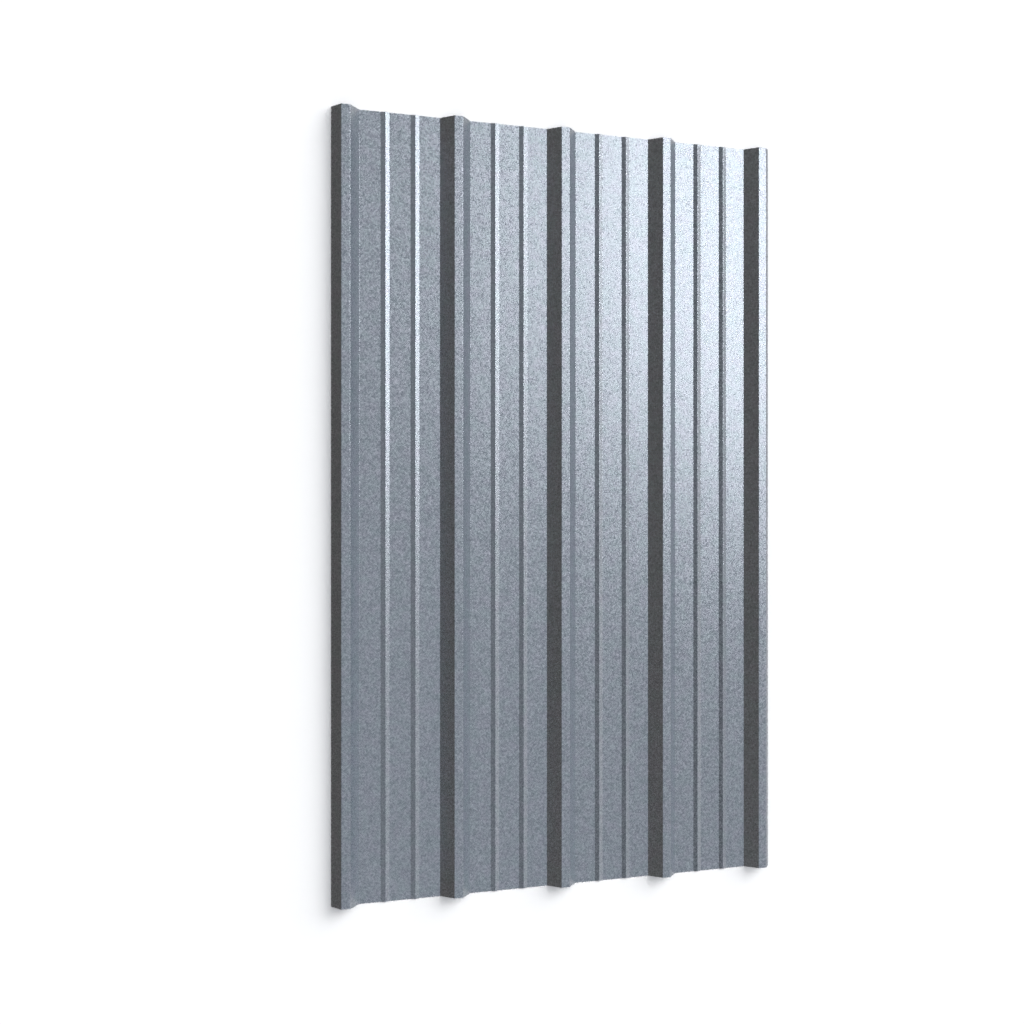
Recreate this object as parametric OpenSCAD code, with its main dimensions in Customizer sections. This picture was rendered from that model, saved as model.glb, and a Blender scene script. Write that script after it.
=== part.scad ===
// Five-rib roofing and cladding sheet, rolled from one strip of coated steel.
// It lies flat with its ribs up: X runs across the ribs, Y along them, and Z = 0 is the underside
// of the pans. The origin is the middle of the underside.

/* [Sheet] */
// Length of the sheet along its ribs
sheet_length = 1566; // [600:1:3000]
// Thickness of the coated steel
sheet_thickness = 0.5; // [0.4:0.05:1.2]

/* [Major ribs] */
// Bays between neighbouring major ribs
bay_count = 4; // [1:1:6]
// Distance between the centres of neighbouring major ribs
rib_pitch = 228.6; // [180:0.1:300]
// Height of a major rib above the pan
rib_height = 25.4; // [15:0.1:40]
// Width of a major rib across its flat top
rib_top_width = 17.5; // [10:0.1:35]
// Width of a major rib at the pan
rib_base_width = 63.5; // [50:0.1:90]

/* [Minor ribs] */
// Minor ribs in each bay
minor_count = 2; // [0:1:3]
// Distance between the ridges of neighbouring minor ribs
minor_spacing = 61; // [35:0.5:75]
// Width of a minor rib at the pan
minor_width = 17.5; // [12:0.5:24]
// Height of a minor rib's ridge above the pan
minor_height = 3.2; // [2:0.1:5]

/* [Side laps] */
// Horizontal run of the steep bearing leg of the first rib, which comes down to the pans
bearing_leg_run = 15; // [6:0.5:20]
// Height by which the lapping leg of the last rib comes down
lap_leg_drop = 12.7; // [6:0.1:14]

/* [Bends] */
// Inside radius of the bends of the major ribs
rib_bend_radius = 1; // [0.5:0.25:3]
// Inside radius of the bends of the minor ribs
minor_bend_radius = 1.5; // [0.5:0.25:5]

/* [Hidden] */

zinc_colour = [0.68, 0.72, 0.76];
bend_steps = 4; // flats that stand for one bend's arc

// Heights of the strip's middle surface
pan_z = sheet_thickness / 2;
rib_z = pan_z + rib_height;
ridge_z = pan_z + minor_height;

// Half widths of a major rib, and the bend radii at the middle surface
rib_half_top = rib_top_width / 2;
rib_half_base = rib_base_width / 2;
rib_mid_radius = rib_bend_radius + sheet_thickness / 2;
minor_mid_radius = minor_bend_radius + sheet_thickness / 2;

// The side edges, measured from the centre of the first rib
last_rib_x = bay_count * rib_pitch;
bearing_edge_x = -rib_half_top - bearing_leg_run;
lap_leg_run = (rib_half_base - rib_half_top) * lap_leg_drop / rib_height;
lap_edge_x = last_rib_x + rib_half_top + lap_leg_run;

// A corner of the strip's middle surface is [x, z, bend radius]; its two ends have no bend.
function rib_rise(x) = [
    [x - rib_half_base, pan_z, rib_mid_radius],
    [x - rib_half_top, rib_z, rib_mid_radius]
];

function rib_fall(x) = [
    [x + rib_half_top, rib_z, rib_mid_radius],
    [x + rib_half_base, pan_z, rib_mid_radius]
];

function minor_rib(x) = [
    [x - minor_width / 2, pan_z, minor_mid_radius],
    [x, ridge_z, minor_mid_radius],
    [x + minor_width / 2, pan_z, minor_mid_radius]
];

function minor_ribs(bay) = [
    for (i = [0 : 1 : minor_count - 1])
        each minor_rib((bay + 0.5) * rib_pitch + (i - (minor_count - 1) / 2) * minor_spacing)
];

function bearing_side() = [
    [bearing_edge_x, pan_z, 0],
    [-rib_half_top, rib_z, rib_mid_radius]
];

function lap_side() = [
    [last_rib_x + rib_half_top, rib_z, rib_mid_radius],
    [lap_edge_x, rib_z - lap_leg_drop, 0]
];

function strip_corners() = [
    each bearing_side(),
    for (bay = [0 : bay_count - 1])
        each [each rib_fall(bay * rib_pitch), each minor_ribs(bay), each rib_rise((bay + 1) * rib_pitch)],
    each lap_side()
];

// Direction of travel from one corner to the next, in degrees above the X axis
function heading(from, to) = atan2(to[1] - from[1], to[0] - from[0]);

function beside(point, angle, distance) = [
    point[0] + distance * cos(angle),
    point[1] + distance * sin(angle)
];

// Points of one bend on the skin that lies `offset` above the middle surface
function bend(before, corner, after, offset) =
    let (
        start = heading(before, corner),
        turn = heading(corner, after) - start,
        side = sign(turn),
        to_centre = corner[2] / cos(turn / 2),
        centre = beside(corner, start + turn / 2 + side * 90, to_centre)
    )
    [
        for (step = [0 : bend_steps])
            beside(centre, start + turn * step / bend_steps - side * 90, corner[2] - side * offset)
    ];

function skin(corners, offset) =
    let (last = len(corners) - 1)
    [
        beside(corners[0], heading(corners[0], corners[1]) + 90, offset),
        for (i = [1 : last - 1])
            each bend(corners[i - 1], corners[i], corners[i + 1], offset),
        beside(corners[last], heading(corners[last - 1], corners[last]) + 90, offset)
    ];

function reversed(points) = [for (i = [len(points) - 1 : -1 : 0]) points[i]];

// The strip rolled to its section and cut square to length
module sheet() {
    corners = strip_corners();
    section = concat(
        skin(corners, sheet_thickness / 2),
        reversed(skin(corners, -sheet_thickness / 2))
    );
    section_x = [for (point = section) point[0]];
    middle_x = (min(section_x) + max(section_x)) / 2;
    color(zinc_colour)
        translate([-middle_x, sheet_length / 2, 0])
            rotate([90, 0, 0])
                linear_extrude(height = sheet_length)
                    polygon(section);
}

sheet();
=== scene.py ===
"""A five-rib sheet of galvanised roofing steel, and the small studio that it lies in.

Lengths are in metres. The sheet lies with its ribs up: X runs across them, Y along them, Z up.
"""

import math

import bpy
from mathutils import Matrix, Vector


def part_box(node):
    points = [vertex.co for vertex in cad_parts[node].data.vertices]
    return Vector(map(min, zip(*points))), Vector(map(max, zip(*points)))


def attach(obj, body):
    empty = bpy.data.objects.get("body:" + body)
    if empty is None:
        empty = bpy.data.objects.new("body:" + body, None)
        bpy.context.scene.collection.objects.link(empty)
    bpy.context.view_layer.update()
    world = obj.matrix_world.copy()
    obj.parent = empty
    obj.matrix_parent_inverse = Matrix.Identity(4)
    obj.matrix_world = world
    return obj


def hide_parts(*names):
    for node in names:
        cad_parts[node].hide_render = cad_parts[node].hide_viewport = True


bl_info = {
    "name": "Galvanised Roofing Sheet",
    "version": (1, 0, 0),
    "blender": (4, 5, 0),
    "location": "3D View > Sidebar > Roofing Sheet",
    "description": "Rolls a ribbed sheet of spangled galvanised steel and sets up a studio for it",
    "category": "Add Mesh",
}

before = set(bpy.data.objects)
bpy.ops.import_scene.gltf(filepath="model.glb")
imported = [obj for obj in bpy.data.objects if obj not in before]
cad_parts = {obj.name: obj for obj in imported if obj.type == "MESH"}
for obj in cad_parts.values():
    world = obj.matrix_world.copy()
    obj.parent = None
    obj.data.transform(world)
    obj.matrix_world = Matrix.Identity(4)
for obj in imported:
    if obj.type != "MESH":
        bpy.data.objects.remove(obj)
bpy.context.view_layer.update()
SHEET_LOW, SHEET_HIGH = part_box("sheet")

MILLIMETRES = 1000.0

# How finely the sheet is meshed
BEND_STEP = math.radians(8)
ROW_SPACING = 0.026
HOLD = 0.0006  # flat kept true beside each bend, so that the bend's shading stays in it
SHARP_BEND = math.radians(60)

# The slow waves along the pans: how far each runs in a radian, and its shift from bay to bay
WAVES = ((0.047, 2.1), (0.113, 1.3))

# Where each face lies on the sheet's map. The weather skin gets most of it.
WEATHER_SKIN_U = (0.004, 0.800)
UNDER_SKIN_U = (0.808, 0.976)
SIDE_EDGE_U = ((0.980, 0.986), (0.990, 0.996))
SKIN_V = (0.012, 0.988)
END_EDGE_V = ((0.002, 0.008), (0.992, 0.998))

SKIN_SLOT, EDGE_SLOT = 0, 1


def length(name, description, default):
    return bpy.props.FloatProperty(
        name=name, description=description, default=default, min=0.0, subtype="DISTANCE", unit="LENGTH"
    )


def share(name, description, default):
    return bpy.props.FloatProperty(
        name=name, description=description, default=default, min=0.0, max=1.0, subtype="FACTOR"
    )


def amount(name, description, default):
    return bpy.props.FloatProperty(name=name, description=description, default=default, min=0.0)


def angle(name, description, degrees):
    return bpy.props.FloatProperty(
        name=name, description=description, default=math.radians(degrees), subtype="ANGLE", unit="ROTATION"
    )


def colour(name, description, default):
    return bpy.props.FloatVectorProperty(
        name=name, description=description, default=default, size=3, min=0.0, soft_max=1.0, subtype="COLOR"
    )


class SheetSizes(bpy.types.PropertyGroup):
    """The rolled section of the sheet."""

    thickness: length("Thickness", "Thickness of the coated steel", 0.0005)
    bays: bpy.props.IntProperty(
        name="Bays", description="Bays between neighbouring major ribs", default=4, min=1
    )
    rib_pitch: length("Rib pitch", "Distance between the centres of neighbouring major ribs", 0.2286)
    rib_height: length("Rib height", "Height of a major rib above the pan", 0.0254)
    rib_top: length("Rib top", "Width of a major rib across its flat top", 0.0175)
    rib_base: length("Rib base", "Width of a major rib at the pan", 0.0635)
    minor_ribs: bpy.props.IntProperty(
        name="Minor ribs", description="Low ribs in each bay", default=2, min=0
    )
    minor_spacing: length("Minor spacing", "Distance between the ridges of neighbouring minor ribs", 0.061)
    minor_width: length("Minor width", "Width of a minor rib at the pan", 0.0175)
    minor_height: length("Minor height", "Height of a minor rib's ridge above the pan", 0.0032)
    bearing_run: length("Bearing leg", "Horizontal run of the steep leg of the first rib", 0.015)
    lap_drop: length("Lap leg", "Height by which the lapping leg of the last rib comes down", 0.0127)
    rib_radius: length("Rib bends", "Inside radius of the bends of the major ribs", 0.001)
    minor_radius: length("Minor bends", "Inside radius of the bends of the minor ribs", 0.0015)
    waviness: length("Waviness", "Height of the slow waves that rolling leaves in the pans", 0.0001)


class ZincLook(bpy.types.PropertyGroup):
    """The spangled zinc coat and the sheared edges."""

    pale: colour("Pale crystal", "Colour of the palest zinc crystals", (0.90, 0.94, 0.98))
    deep: colour("Deep crystal", "Colour of the deepest zinc crystals", (0.45, 0.49, 0.53))
    cool: colour("Cool bloom", "Tint of the greener patches of the coat", (0.95, 1.00, 0.995))
    warm: colour("Warm bloom", "Tint of the more violet patches of the coat", (1.00, 0.98, 1.02))
    steel: colour("Sheared steel", "Colour of the bare steel at the cut edges", (0.40, 0.41, 0.43))
    crystal: length("Crystal size", "Width of a zinc crystal", 0.0028)
    needle: length("Needle width", "Width of the needles that cross the crystals", 0.0012)
    needle_length: length("Needle length", "Length of those needles", 0.005)
    weave: share("Needle share", "How much of the pattern the needles make, and not the crystals", 0.6)
    bloom: length("Bloom size", "Width of the patches of tint", 0.030)
    gloss: share("Roughness", "Mean roughness of the zinc coat", 0.28)
    gloss_spread: share("Roughness spread", "How much rougher pale crystals are than deep ones", 0.16)
    tilt: amount("Crystal tilt", "How far the crystals lean from the surface", 0.025)
    relief: length("Needle relief", "Height of the needles above the coat", 0.00003)
    tear: length("Tear size", "Width of the torn patches on the cut edges", 0.00125)


class StudioLook(bpy.types.PropertyGroup):
    """The floor, the lights and the camera."""

    floor: colour("Floor", "Colour of the floor", (0.82, 0.82, 0.82))
    backdrop: colour("Backdrop", "Light of the pale room beyond the floor", (1.0, 1.0, 1.0))
    dark_wall: colour("Dark wall", "Tint of the wall on the bearing side", (1.00, 0.93, 0.88))
    ceiling_tint: colour("Ceiling tint", "Tint of the ceiling and of the end walls", (0.87, 0.915, 1.00))
    pale_wall: colour("Pale wall", "Tint of the wall on the lapping side", (0.97, 0.97, 1.00))
    end_walls: amount("End walls", "Brightness of the walls beyond the sheet's cut ends", 0.55)
    box_tint: colour("Soft box tint", "Colour of the soft box", (0.96, 0.97, 1.00))
    box_core: amount("Soft box core", "Brightness that the middle of the soft box adds", 0.78)
    box_rim: amount("Soft box rim", "Brightness of the soft box out to its rim", 0.43)
    core_spread: angle("Core spread", "Half the angle that the soft box's core fills for the sheet", 18.0)
    rim_spread: angle("Rim spread", "Half the angle that the whole soft box fills for the sheet", 24.0)
    box_distance: length("Soft box distance", "Distance of the soft box from the sheet", 6.0)
    box_azimuth: angle("Soft box azimuth", "Bearing of the soft box from +X towards +Y", 29.5)
    box_elevation: angle("Soft box elevation", "Height of the soft box above the horizon", 46.0)
    ceiling_light: amount("Ceiling", "Light that the ceiling sheds, in watts a square metre", 1.3)
    window_light: amount("Window", "Light that the window sheds, in watts a square metre", 3.6)
    window_spread: angle("Window spread", "Angle that the window fills for the sheet", 50.0)
    window_azimuth: angle("Window azimuth", "Bearing of the window from +X towards +Y", 40.0)
    window_elevation: angle("Window elevation", "Height of the window above the horizon", 24.0)
    lens: bpy.props.FloatProperty(
        name="Focal length",
        description="Focal length of the camera",
        default=44.05,
        min=1.0,
        subtype="DISTANCE_CAMERA",
    )
    camera_place: bpy.props.FloatVectorProperty(
        name="Camera place",
        description="Where the camera stands",
        default=(-0.9162, -0.0217, 2.4394),
        size=3,
        subtype="TRANSLATION",
        unit="LENGTH",
    )
    camera_lean: angle("Camera lean", "How far the camera looks from straight down, towards +X", 18.37)
    camera_shift: amount("Camera shift", "Shift of the lens, as a share of the frame", 0.0056)


class Socket:
    """An output socket. Arithmetic on it adds Math nodes to its tree."""

    def __init__(self, nodes, output):
        self.nodes, self.output = nodes, output

    def maths(self, operation, *values):
        node = self.nodes.add("ShaderNodeMath", {"operation": operation}, dict(enumerate(values)))
        return self.nodes.socket(node, "Value")

    def __add__(self, other):
        return self.maths("ADD", self, other)

    def __sub__(self, other):
        return self.maths("SUBTRACT", self, other)

    def __rsub__(self, other):
        return self.maths("SUBTRACT", other, self)

    def __mul__(self, other):
        return self.maths("MULTIPLY", self, other)

    def __abs__(self):
        return self.maths("ABSOLUTE", self)

    __radd__, __rmul__ = __add__, __mul__


class Nodes:
    """The nodes of one material or world."""

    def __init__(self, owner):
        owner.use_nodes = True
        self.tree = owner.node_tree
        self.tree.nodes.clear()

    def add(self, kind, settings=None, inputs=None):
        """A node of this kind, with its settings made before its sockets are filled or linked."""
        node = self.tree.nodes.new(kind)
        for name, value in (settings or {}).items():
            setattr(node, name, value)
        for key, value in (inputs or {}).items():
            if isinstance(value, Socket):
                self.tree.links.new(value.output, node.inputs[key])
            else:
                node.inputs[key].default_value = value
        return node

    def socket(self, node, key):
        return Socket(self, node.outputs[key])

    def vector(self, operation, *values, **named):
        node = self.add("ShaderNodeVectorMath", {"operation": operation}, dict(enumerate(values)) | named)
        return self.socket(node, "Value" if operation == "DOT_PRODUCT" else "Vector")

    def mix(self, factor, low, high, blend="MIX"):
        """A colour from low to high, as the factor goes from 0 to 1."""
        node = self.add(
            "ShaderNodeMix",
            {"data_type": "RGBA", "blend_type": blend},
            {"Factor": factor, 6: low, 7: high},
        )
        return Socket(self, node.outputs[2])

    def noise(self, place, scale, detail=0.0, roughness=0.5):
        node = self.add(
            "ShaderNodeTexNoise",
            inputs={"Vector": place, "Scale": scale, "Detail": detail, "Roughness": roughness},
        )
        return self.socket(node, "Fac")

    def remap(self, value, low, high, into=(0.0, 1.0)):
        """The value brought from low..high to another range, held inside it."""
        node = self.add(
            "ShaderNodeMapRange",
            {"clamp": True},
            {"Value": value, "From Min": low, "From Max": high, "To Min": into[0], "To Max": into[1]},
        )
        return self.socket(node, "Result")


def opaque(rgb):
    return (*rgb, 1.0)


def grey(brightness):
    return opaque((brightness,) * 3)


# ---------------------------------------------------------------- the rolled sheet


def strip_corners(sizes):
    """Each corner of the strip's middle surface across the sheet: its place (x, z) and bend radius."""
    pan = sizes.thickness / 2
    rib = pan + sizes.rib_height
    ridge = pan + sizes.minor_height
    half_top, half_base = sizes.rib_top / 2, sizes.rib_base / 2
    rib_bend = sizes.rib_radius + sizes.thickness / 2
    minor_bend = sizes.minor_radius + sizes.thickness / 2

    corners = [(-half_top - sizes.bearing_run, pan, 0.0), (-half_top, rib, rib_bend)]
    for bay in range(sizes.bays):
        left, right = bay * sizes.rib_pitch, (bay + 1) * sizes.rib_pitch
        corners += [(left + half_top, rib, rib_bend), (left + half_base, pan, rib_bend)]
        for minor in range(sizes.minor_ribs):
            middle = (left + right) / 2 + (minor - (sizes.minor_ribs - 1) / 2) * sizes.minor_spacing
            corners += [
                (middle - sizes.minor_width / 2, pan, minor_bend),
                (middle, ridge, minor_bend),
                (middle + sizes.minor_width / 2, pan, minor_bend),
            ]
        corners += [(right - half_base, pan, rib_bend), (right - half_top, rib, rib_bend)]
    top = sizes.bays * sizes.rib_pitch + half_top
    lap_run = (half_base - half_top) * sizes.lap_drop / sizes.rib_height
    return corners + [(top, rib, rib_bend), (top + lap_run, rib - sizes.lap_drop, 0.0)]


def section_path(sizes):
    """Points across the strip's middle surface, each as (x, z) and the heading of the strip there."""
    corners = strip_corners(sizes)
    headings = [math.atan2(b[1] - a[1], b[0] - a[0]) for a, b in zip(corners, corners[1:])]
    path = [(Vector(corners[0][:2]), headings[0])]
    for (x, z, radius), arriving, leaving in zip(corners[1:-1], headings, headings[1:]):
        turn = leaving - arriving
        run = radius * math.tan(abs(turn) / 2)
        start = Vector((x, z)) - run * along(arriving)
        side = math.copysign(radius, turn)
        centre = start + side * across(arriving)
        steps = math.ceil(abs(turn) / BEND_STEP)
        path.append((start - HOLD * along(arriving), arriving))
        for step in range(steps + 1):
            heading = arriving + turn * step / steps
            path.append((centre - side * across(heading), heading))
        path.append((path[-1][0] + HOLD * along(leaving), leaving))
    path.append((Vector(corners[-1][:2]), headings[-1]))
    return path


def along(heading):
    return Vector((math.cos(heading), math.sin(heading)))


def across(heading):
    return Vector((-math.sin(heading), math.cos(heading)))


def strip_points(sizes, path, rows):
    """Points of the weather skin, row by row along the sheet, and then those of the underside."""
    skins = [
        [point + side * sizes.thickness / 2 * across(heading) for point, heading in path]
        for side in (1, -1)
    ]
    shift = SHEET_LOW.x - min(point.x for skin in skins for point in skin)
    ys = [between((SHEET_LOW.y, SHEET_HIGH.y), row / rows) for row in range(rows + 1)]
    return [
        (point.x + shift, y, point.y + pan_wave(sizes, point.x, point.y, y))
        for skin in skins
        for y in ys
        for point in skin
    ]


def shares_across(path):
    """How far along the section each of its points lies, from 0 to 1."""
    runs = [0.0]
    for (here, _), (there, _) in zip(path, path[1:]):
        runs.append(runs[-1] + (there - here).length)
    return [run / runs[-1] for run in runs]


def strip_faces(path, rows):
    """Faces of the closed strip, each as its corners, its material slot and its spots on the map."""
    columns = len(path)
    us = shares_across(path)
    vs = [between(SKIN_V, row / rows) for row in range(rows + 1)]
    faces = []

    def at(skin, row, column):
        return (skin * (rows + 1) + row) * columns + column

    def add(corners, slot, spots, turned):
        way = -1 if turned else 1
        faces.append((corners[::way], slot, spots[::way]))

    for row in range(rows):
        low, high = vs[row : row + 2]
        for column in range(columns - 1):
            for skin, span in enumerate((WEATHER_SKIN_U, UNDER_SKIN_U)):
                left, right = (between(span, u) for u in us[column : column + 2])
                near = [at(skin, row, column), at(skin, row, column + 1)]
                far = [at(skin, row + 1, column + 1), at(skin, row + 1, column)]
                spots = [(left, low), (right, low), (right, high), (left, high)]
                add(near + far, SKIN_SLOT, spots, turned=skin == 1)
        for column, (left, right) in zip((0, columns - 1), SIDE_EDGE_U):
            upper = [at(0, row, column), at(0, row + 1, column)]
            under = [at(1, row + 1, column), at(1, row, column)]
            spots = [(left, low), (left, high), (right, high), (right, low)]
            add(upper + under, EDGE_SLOT, spots, turned=column > 0)
    for row, (low, high) in zip((0, rows), END_EDGE_V):
        for column in range(columns - 1):
            left, right = (between(WEATHER_SKIN_U, u) for u in us[column : column + 2])
            upper = [at(0, row, column), at(0, row, column + 1)]
            under = [at(1, row, column + 1), at(1, row, column)]
            spots = [(left, low), (right, low), (right, high), (left, high)]
            add(upper + under, EDGE_SLOT, spots, turned=row == 0)
    return faces


def roll_mesh(sizes):
    """The sheet as a closed mesh: the weather skin, the underside, the side edges and the cut ends."""
    path = section_path(sizes)
    rows = math.ceil((SHEET_HIGH.y - SHEET_LOW.y) / ROW_SPACING)
    rings, slots, places = zip(*strip_faces(path, rows))
    mesh = bpy.data.meshes.new("corrugated_sheet")
    mesh.from_pydata(strip_points(sizes, path, rows), [], rings)
    mesh.polygons.foreach_set("material_index", slots)
    mesh.polygons.foreach_set("use_smooth", [True] * len(rings))
    unrolled = mesh.uv_layers.new(name="OFBake")
    unrolled.data.foreach_set("uv", [number for spots in places for spot in spots for number in spot])
    mesh.set_sharp_from_angle(angle=SHARP_BEND)
    mesh.update()
    mesh.validate()
    return mesh


def between(span, share_of_it):
    return span[0] + (span[1] - span[0]) * share_of_it


def pan_wave(sizes, x, z, y):
    """Height of the slow waves along the pans. They die out towards the ribs, which are stiff."""
    bay = x / sizes.rib_pitch
    in_pan = max(0.0, 1 - z / sizes.minor_height / 2)
    slack = math.sin(math.pi * (bay % 1.0)) ** 2
    wave = math.prod(math.sin(y / run + shift * math.floor(bay)) for run, shift in WAVES)
    return sizes.waviness * in_pan * slack * (1 + wave) / 2


# ---------------------------------------------------------------- materials

# The two ways in which the needles lie, turned from the sheet's length
NEEDLE_TURNS = (math.radians(42), math.radians(-46))

# The spans over which patterns run from none to full. Each is centred on its noise's mean.
NEEDLE_SPAN = (0.75, 1.25)
BLOOM_SPAN = (0.35, 0.65)
TEAR_SPAN = (0.3, 0.7)

TORN_SHADE = 0.7
TORN_ROUGHNESS = (0.35, 0.55)


def spangled_zinc(look):
    """Hot-dipped zinc: small crystals that lean different ways, crossed by fine needles."""
    material = bpy.data.materials.new("spangled_zinc")
    nodes = Nodes(material)
    place = nodes.socket(nodes.add("ShaderNodeTexCoord"), "Object")
    place = nodes.vector("SCALE", place, Scale=MILLIMETRES)

    crystal = nodes.add(
        "ShaderNodeTexVoronoi",
        {"feature": "F1"},
        {"Vector": place, "Scale": 1 / (look.crystal * MILLIMETRES)},
    )
    facet = nodes.socket(crystal, "Color")
    grain = nodes.socket(nodes.add("ShaderNodeSeparateColor", inputs={"Color": facet}), "Red")

    slender = (1.0, look.needle / look.needle_length, 1.0)
    needles = []
    for turn in NEEDLE_TURNS:
        turned = nodes.add(
            "ShaderNodeVectorRotate", {"rotation_type": "Z_AXIS"}, {"Vector": place, "Angle": turn}
        )
        drawn_out = nodes.vector("MULTIPLY", nodes.socket(turned, "Vector"), slender)
        needles.append(nodes.noise(drawn_out, 1 / (look.needle * MILLIMETRES)))
    weave = nodes.remap(needles[0] + needles[1], *NEEDLE_SPAN)

    bloom = nodes.noise(place, 1 / (look.bloom * MILLIMETRES), detail=3.0, roughness=0.6)
    bloom = nodes.remap(bloom, *BLOOM_SPAN)

    shade = weave * look.weave + grain * (1 - look.weave)
    zinc = nodes.mix(shade, opaque(look.deep), opaque(look.pale))
    tint = nodes.mix(bloom, opaque(look.cool), opaque(look.warm))
    zinc = nodes.mix(1.0, zinc, tint, blend="MULTIPLY")

    lean = nodes.vector("SUBTRACT", facet, (0.5, 0.5, 0.5))
    lean = nodes.vector("SCALE", lean, Scale=look.tilt)
    straight = nodes.socket(nodes.add("ShaderNodeNewGeometry"), "Normal")
    normal = nodes.vector("NORMALIZE", nodes.vector("ADD", straight, lean))
    bump = nodes.add(
        "ShaderNodeBump",
        inputs={"Strength": 1.0, "Distance": look.relief, "Height": weave, "Normal": normal},
    )
    shader = nodes.add(
        "ShaderNodeBsdfPrincipled",
        inputs={
            "Base Color": zinc,
            "Metallic": 1.0,
            "Roughness": look.gloss + (shade - 0.5) * look.gloss_spread,
            "Normal": nodes.socket(bump, "Normal"),
        },
    )
    nodes.add("ShaderNodeOutputMaterial", inputs={"Surface": nodes.socket(shader, "BSDF")})
    return material


def sheared_steel(look):
    """The bare, slightly torn steel of the cut edges."""
    material = bpy.data.materials.new("sheared_steel")
    nodes = Nodes(material)
    place = nodes.socket(nodes.add("ShaderNodeTexCoord"), "Object")
    place = nodes.vector("SCALE", place, Scale=MILLIMETRES)
    tear = nodes.noise(place, 1 / (look.tear * MILLIMETRES), detail=3.0, roughness=0.6)
    torn = tuple(TORN_SHADE * value for value in look.steel)
    shader = nodes.add(
        "ShaderNodeBsdfPrincipled",
        inputs={
            "Base Color": nodes.mix(tear, opaque(torn), opaque(look.steel)),
            "Metallic": 1.0,
            "Roughness": nodes.remap(tear, *TEAR_SPAN, into=TORN_ROUGHNESS),
        },
    )
    nodes.add("ShaderNodeOutputMaterial", inputs={"Surface": nodes.socket(shader, "BSDF")})
    return material


def plain_floor(look):
    material = bpy.data.materials.new("pale_floor")
    nodes = Nodes(material)
    shader = nodes.add("ShaderNodeBsdfDiffuse", inputs={"Color": opaque(look.floor)})
    nodes.add("ShaderNodeOutputMaterial", inputs={"Surface": nodes.socket(shader, "BSDF")})
    return material


# ---------------------------------------------------------------- the studio

# How bright the room is that the steel mirrors, from the wall at -X over the ceiling to the wall
# at +X. The dark gap near the middle is a flag that hangs beside the camera.
ROOM = (
    (-1.00, 0.097),
    (-0.80, 0.125),
    (-0.60, 0.25),
    (-0.45, 0.30),
    (-0.30, 0.16),
    (-0.15, 0.08),
    (0.00, 0.26),
    (0.12, 0.40),
    (0.25, 0.38),
    (0.50, 0.34),
    (0.75, 0.45),
    (1.00, 0.48),
)

# Where the ceiling turns into each wall: the side walls along X, and the end walls along Y
DARK_WALL_SPAN = (-0.90, -0.55)
PALE_WALL_SPAN = (0.55, 0.90)
END_WALL_SPAN = (0.50, 0.90)

WHOLE_SKY = math.radians(180)
OVERHEAD = math.radians(90)

FLOOR_REACH = 20.0
FLOOR_GAP = 0.0003  # kept under the sheet, so that the two don't share a plane


def studio_room(look):
    """The room that the steel mirrors. The camera sees a plain backdrop in its place."""
    world = bpy.data.worlds.new("studio_room")
    nodes = Nodes(world)
    direction = nodes.socket(nodes.add("ShaderNodeTexCoord"), "Generated")
    sideways = nodes.vector("DOT_PRODUCT", direction, (1.0, 0.0, 0.0))
    lengthways = nodes.vector("DOT_PRODUCT", direction, (0.0, 1.0, 0.0))
    ramp = nodes.add("ShaderNodeValToRGB", inputs={"Fac": sideways * 0.5 + 0.5})
    stops = ramp.color_ramp.elements
    for place, _ in ROOM[len(stops) :]:
        stops.new((place + 1) / 2)
    for stop, (place, brightness) in zip(stops, ROOM):
        stop.position = (place + 1) / 2
        stop.color = grey(brightness)
    at_ends = nodes.remap(abs(lengthways), *END_WALL_SPAN)
    brightness = nodes.mix(at_ends, nodes.socket(ramp, "Color"), grey(look.end_walls))
    above = nodes.remap(sideways, *DARK_WALL_SPAN)
    tint = nodes.mix(above, opaque(look.dark_wall), opaque(look.ceiling_tint))
    tint = nodes.mix(nodes.remap(sideways, *PALE_WALL_SPAN), tint, opaque(look.pale_wall))
    mirrored = nodes.add("ShaderNodeBackground", inputs={"Color": tint, "Strength": brightness})
    backdrop = nodes.add("ShaderNodeBackground", inputs={"Color": opaque(look.backdrop), "Strength": 1.0})
    path = nodes.add("ShaderNodeLightPath")
    room = nodes.add(
        "ShaderNodeMixShader",
        inputs={
            0: nodes.socket(path, "Is Camera Ray"),
            1: nodes.socket(mirrored, "Background"),
            2: nodes.socket(backdrop, "Background"),
        },
    )
    nodes.add("ShaderNodeOutputWorld", inputs={"Surface": nodes.socket(room, "Shader")})
    return world


def bearing(azimuth, elevation):
    return Vector((
        math.cos(elevation) * math.cos(azimuth),
        math.cos(elevation) * math.sin(azimuth),
        math.sin(elevation),
    ))


def soft_box(look, name, spread, brightness):
    """A round part of the soft box that gives the zinc its sheen.

    Its light isn't passed on from one face of the steel to the next.
    """
    lamp = bpy.data.lights.new(name, "AREA")
    lamp.shape = "DISK"
    lamp.size = 2 * look.box_distance * math.tan(spread)
    area = math.pi * lamp.size**2 / 4
    lamp.energy = brightness * math.pi * area
    lamp.color = look.box_tint
    lamp.cycles.max_bounces = 0
    lamp.cycles.use_multiple_importance_sampling = False
    light = bpy.data.objects.new(name, lamp)
    towards = bearing(look.box_azimuth, look.box_elevation)
    light.location = towards * look.box_distance
    light.rotation_euler = towards.to_track_quat("Z", "Y").to_euler()
    light.visible_camera = False
    return light


def floor_light(name, strength, spread, azimuth, elevation):
    """A wide, distant light for the floor. Steel doesn't mirror it."""
    lamp = bpy.data.lights.new(name, "SUN")
    lamp.energy = strength
    lamp.angle = spread
    light = bpy.data.objects.new(name, lamp)
    light.rotation_euler = bearing(azimuth, elevation).to_track_quat("Z", "Y").to_euler()
    light.visible_glossy = False
    return light


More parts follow.
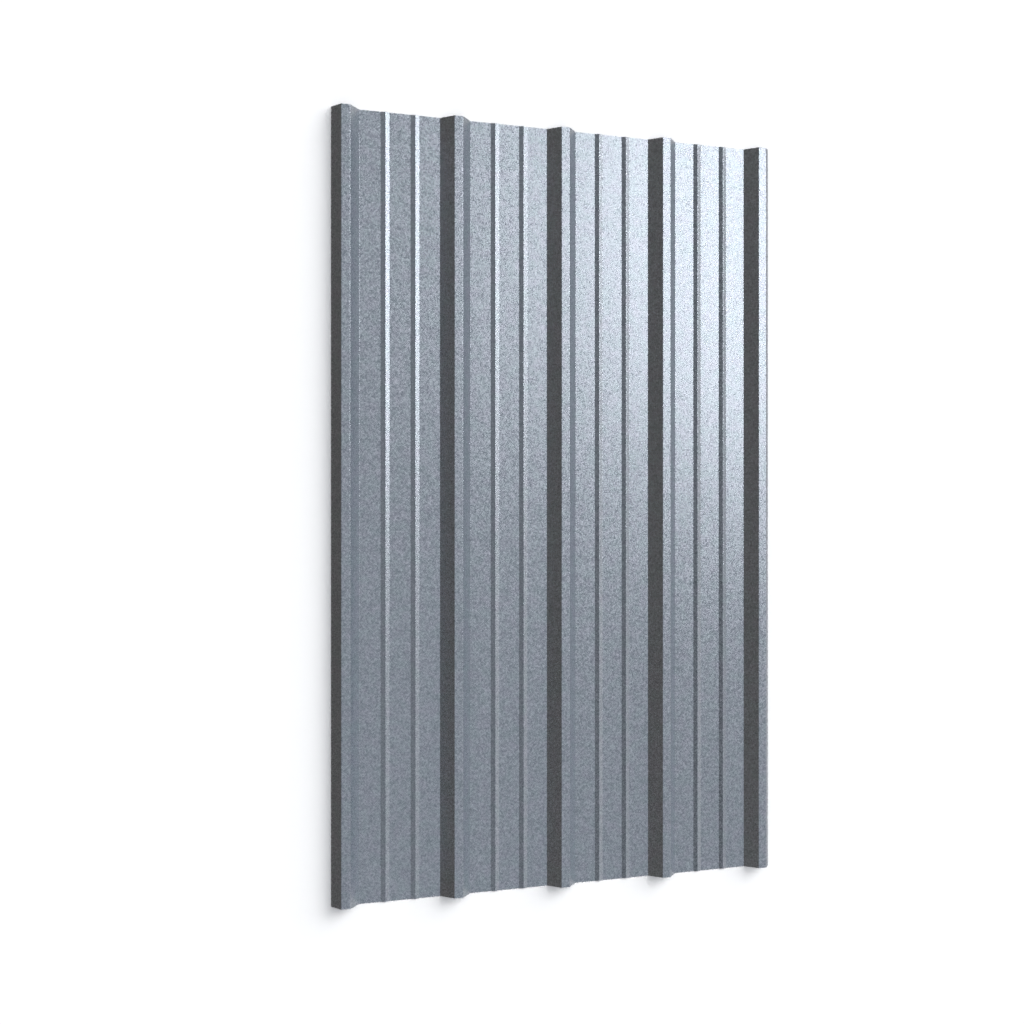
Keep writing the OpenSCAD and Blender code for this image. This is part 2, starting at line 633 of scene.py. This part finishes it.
def studio_camera(look):
    lens = bpy.data.cameras.new("camera")
    lens.lens = look.lens
    lens.sensor_width = 36.0
    lens.shift_y = look.camera_shift
    lens.dof.use_dof = False
    camera = bpy.data.objects.new("camera", lens)
    camera.location = look.camera_place
    camera.rotation_euler = (0.0, -look.camera_lean, 0.0)
    return camera


def floor_plane(look):
    mesh = bpy.data.meshes.new("floor")
    depth = SHEET_LOW.z - FLOOR_GAP
    corners = [(x * FLOOR_REACH, y * FLOOR_REACH, depth) for x, y in ((-1, -1), (1, -1), (1, 1), (-1, 1))]
    mesh.from_pydata(corners, [], [(0, 1, 2, 3)])
    mesh.materials.append(plain_floor(look))
    floor = bpy.data.objects.new("floor", mesh)
    floor.visible_glossy = False
    return floor


# ---------------------------------------------------------------- operators


class RollSheet(bpy.types.Operator):
    """Roll the ribbed sheet and give it its zinc coat"""

    bl_idname = "roofing_sheet.roll"
    bl_label = "Roll sheet"

    def execute(self, context):
        scene = context.scene
        mesh = roll_mesh(scene.sheet_sizes)
        mesh.materials.append(spangled_zinc(scene.zinc_look))
        mesh.materials.append(sheared_steel(scene.zinc_look))
        sheet = bpy.data.objects.new("corrugated_sheet", mesh)
        scene.collection.objects.link(sheet)
        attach(sheet, "root")
        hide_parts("sheet")
        return {"FINISHED"}


class SetUpStudio(bpy.types.Operator):
    """Lay the floor, hang the soft box and set the camera"""

    bl_idname = "roofing_sheet.studio"
    bl_label = "Set up studio"

    def execute(self, context):
        scene = context.scene
        look = scene.studio_look
        floor = floor_plane(look)
        camera = studio_camera(look)
        lights = (
            soft_box(look, "soft_box_core", look.core_spread, look.box_core),
            soft_box(look, "soft_box_rim", look.rim_spread, look.box_rim),
            floor_light("ceiling", look.ceiling_light, WHOLE_SKY, 0.0, OVERHEAD),
            floor_light(
                "window",
                look.window_light,
                look.window_spread,
                look.window_azimuth,
                look.window_elevation,
            ),
        )
        for thing in (floor, camera, *lights):
            scene.collection.objects.link(thing)
        scene.camera = camera
        scene.world = studio_room(look)
        scene.view_settings.view_transform = "Standard"
        return {"FINISHED"}


BUTTONS = ((RollSheet, ("sheet_sizes", "zinc_look")), (SetUpStudio, ("studio_look",)))


class SheetPanel(bpy.types.Panel):
    """Buttons and sizes for the roofing sheet"""

    bl_idname = "VIEW3D_PT_roofing_sheet"
    bl_label = "Roofing Sheet"
    bl_space_type = "VIEW_3D"
    bl_region_type = "UI"
    bl_category = "Roofing Sheet"

    def draw(self, context):
        for operator, groups in BUTTONS:
            self.layout.operator(operator.bl_idname)
            for group in groups:
                settings = getattr(context.scene, group)
                for name in settings.__annotations__:
                    self.layout.prop(settings, name)


GROUPS = {"sheet_sizes": SheetSizes, "zinc_look": ZincLook, "studio_look": StudioLook}
CLASSES = (*GROUPS.values(), RollSheet, SetUpStudio, SheetPanel)


def register():
    for each in CLASSES:
        bpy.utils.register_class(each)
    for name, group in GROUPS.items():
        setattr(bpy.types.Scene, name, bpy.props.PointerProperty(type=group))


def unregister():
    for name in GROUPS:
        delattr(bpy.types.Scene, name)
    for each in reversed(CLASSES):
        bpy.utils.unregister_class(each)


def main():
    register()
    bpy.ops.roofing_sheet.roll()
    bpy.ops.roofing_sheet.studio()


if __name__ == "__main__":
    main()
